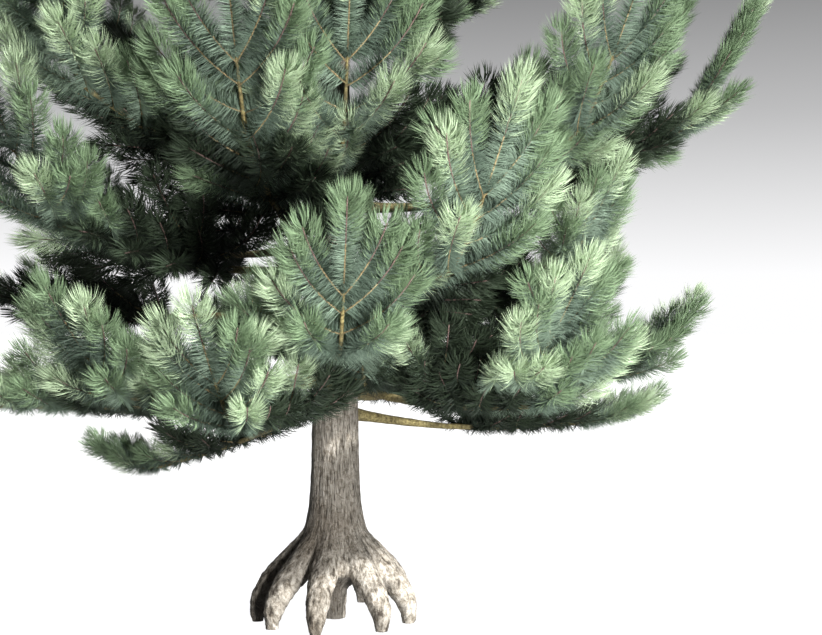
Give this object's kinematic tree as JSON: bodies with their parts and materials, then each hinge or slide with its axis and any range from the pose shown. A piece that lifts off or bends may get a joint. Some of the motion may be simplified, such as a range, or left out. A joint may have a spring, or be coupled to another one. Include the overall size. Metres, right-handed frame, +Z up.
{
  "type": "austrian pine tree",
  "caption": "Young open-grown Austrian pine, rooted in level ground: clawed root flare, straight tapering trunk, upswept boughs with masses of bottle-brush needle sprays.",
  "frame": {"origin": "centre of the flat cut under the trunk, at ground level", "axes": "+Z up along the trunk; -Y is the side that faces the picture's camera, with +X to its right"},
  "size_m": [4.6919, 4.205, 6.0034],
  "materials": {
    "bark": "dull fissured grey bark",
    "bough_bark": "dull olive-brown young bark",
    "lower_needles": "dull blue-green needles",
    "upper_needles": "dull green needles"
  },
  "bodies": {
    "root": {"trunk": "bark", "bough_01": "bough_bark", "bough_02": "bough_bark", "bough_03": "bough_bark", "bough_04": "bough_bark", "bough_05": "bough_bark", "bough_06": "bough_bark", "bough_07": "bough_bark", "bough_08": "bough_bark", "bough_09": "bough_bark", "bough_10": "bough_bark", "bough_11": "bough_bark", "bough_12": "bough_bark", "bough_13": "bough_bark", "bough_14": "bough_bark", "bough_15": "bough_bark", "bough_16": "bough_bark", "bough_17": "bough_bark", "bough_18": "bough_bark", "bough_19": "bough_bark", "bough_20": "bough_bark", "bough_21": "bough_bark", "bough_22": "bough_bark", "bough_23": "bough_bark", "foliage_01": "lower_needles", "foliage_02": "lower_needles", "foliage_03": "lower_needles", "foliage_04": "lower_needles", "foliage_05": "lower_needles", "foliage_06": "lower_needles", "foliage_07": "lower_needles", "foliage_08": "lower_needles", "foliage_09": "lower_needles", "foliage_10": "lower_needles", "foliage_11": "lower_needles", "foliage_12": "lower_needles", "foliage_13": "lower_needles", "foliage_14": "lower_needles", "foliage_15": "lower_needles", "foliage_16": "lower_needles", "foliage_17": "lower_needles", "foliage_18": "lower_needles", "foliage_19": "lower_needles", "foliage_20": "lower_needles", "foliage_21": "lower_needles", "foliage_22": "lower_needles", "foliage_23": "lower_needles", "upper_foliage_01": "upper_needles", "upper_foliage_02": "upper_needles", "upper_foliage_03": "upper_needles", "upper_foliage_04": "upper_needles", "upper_foliage_05": "upper_needles", "upper_foliage_06": "upper_needles", "upper_foliage_07": "upper_needles", "upper_foliage_08": "upper_needles", "upper_foliage_09": "upper_needles", "upper_foliage_10": "upper_needles", "upper_foliage_11": "upper_needles", "upper_foliage_12": "upper_needles", "leader_foliage": "upper_needles"}
  },
  "joints": []
}
